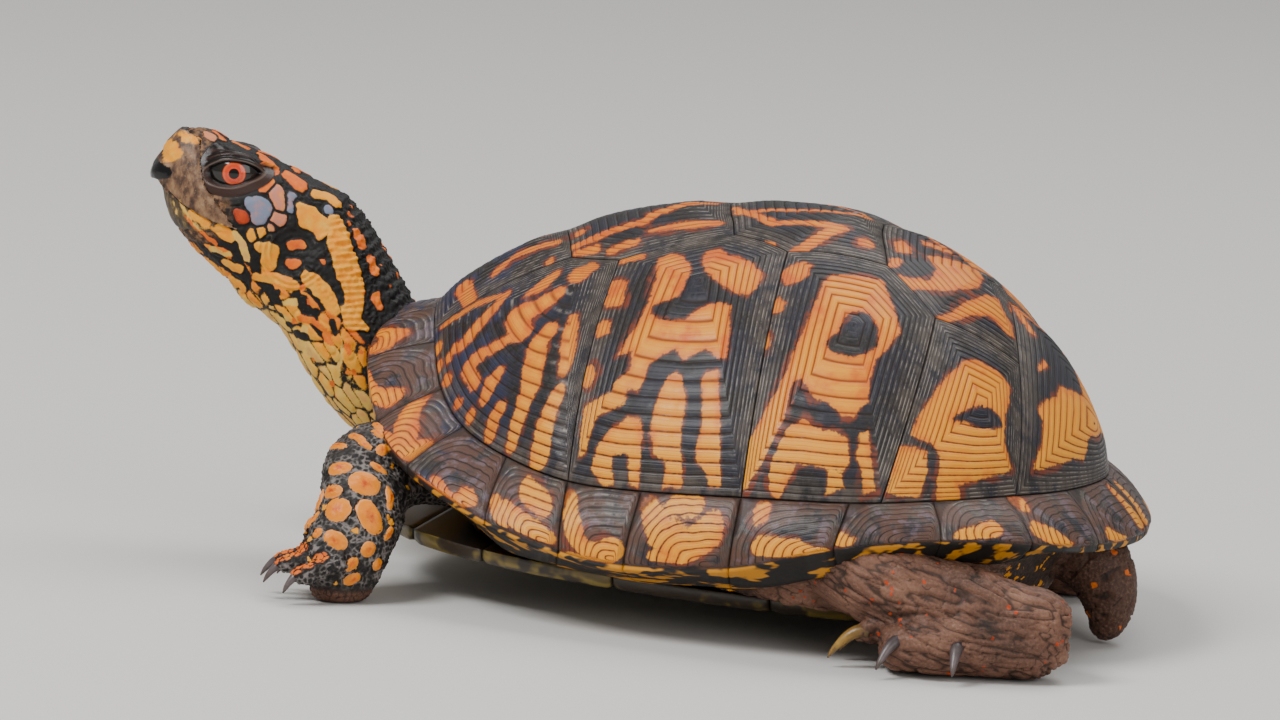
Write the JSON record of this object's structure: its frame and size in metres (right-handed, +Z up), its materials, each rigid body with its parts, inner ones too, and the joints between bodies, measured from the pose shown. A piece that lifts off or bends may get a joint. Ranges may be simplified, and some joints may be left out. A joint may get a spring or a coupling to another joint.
{
  "type": "eastern box turtle",
  "caption": "Life-size still model of an adult male Eastern box turtle standing with its neck raised, with a high domed shell, spread legs and a curled tail.",
  "frame": {"origin": "centre of the bounding box, on the floor that the feet stand on", "axes": "-X is the way the head faces, -Y is the animal's left side, +Z is up from the floor"},
  "size_m": [0.1792, 0.124, 0.0733],
  "materials": {
    "shell_plates": "horny shell plates: near-black with yellow-orange blotches and fine growth rings, satin to glossy",
    "plastron": "horny under-shell: dark brown with olive-yellow patches, worn satin",
    "skin": "dry scaly skin: dark grey-brown with orange scales and flecks",
    "beak": "rough tan horn with a dark tip",
    "claws": "dark horn, paler at the tip",
    "eyes": "wet glossy eye, red-orange iris round a black pupil"
  },
  "bodies": {
    "root": {"costal_1_left": "shell_plates", "costal_2_left": "shell_plates", "costal_3_left": "shell_plates", "costal_4_left": "shell_plates", "marginals_front_left": "shell_plates", "marginals_bridge_left": "shell_plates", "marginals_rear_left": "shell_plates", "costal_1_right": "shell_plates", "costal_2_right": "shell_plates", "costal_3_right": "shell_plates", "costal_4_right": "shell_plates", "marginals_front_right": "shell_plates", "marginals_bridge_right": "shell_plates", "marginals_rear_right": "shell_plates", "vertebral_1": "shell_plates", "vertebral_2": "shell_plates", "vertebral_3": "shell_plates", "vertebral_4": "shell_plates", "vertebral_5": "shell_plates", "nuchal": "shell_plates", "plastron_front": "plastron", "plastron_rear": "plastron", "trunk": "skin", "head": "skin", "neck": "skin", "tail": "skin", "upper_beak": "beak", "lower_beak": "beak", "eye_left": "eyes", "eye_right": "eyes", "foreleg_left": "skin", "hindleg_left": "skin", "foreleg_left_claw_1": "claws", "foreleg_left_claw_2": "claws", "foreleg_left_claw_3": "claws", "foreleg_left_claw_4": "claws", "foreleg_left_claw_5": "claws", "hindleg_left_claw_1": "claws", "hindleg_left_claw_2": "claws", "hindleg_left_claw_3": "claws", "hindleg_left_claw_4": "claws", "foreleg_right": "skin", "hindleg_right": "skin", "foreleg_right_claw_1": "claws", "foreleg_right_claw_2": "claws", "foreleg_right_claw_3": "claws", "foreleg_right_claw_4": "claws", "foreleg_right_claw_5": "claws", "hindleg_right_claw_1": "claws", "hindleg_right_claw_2": "claws", "hindleg_right_claw_3": "claws", "hindleg_right_claw_4": "claws"}
  },
  "joints": []
}
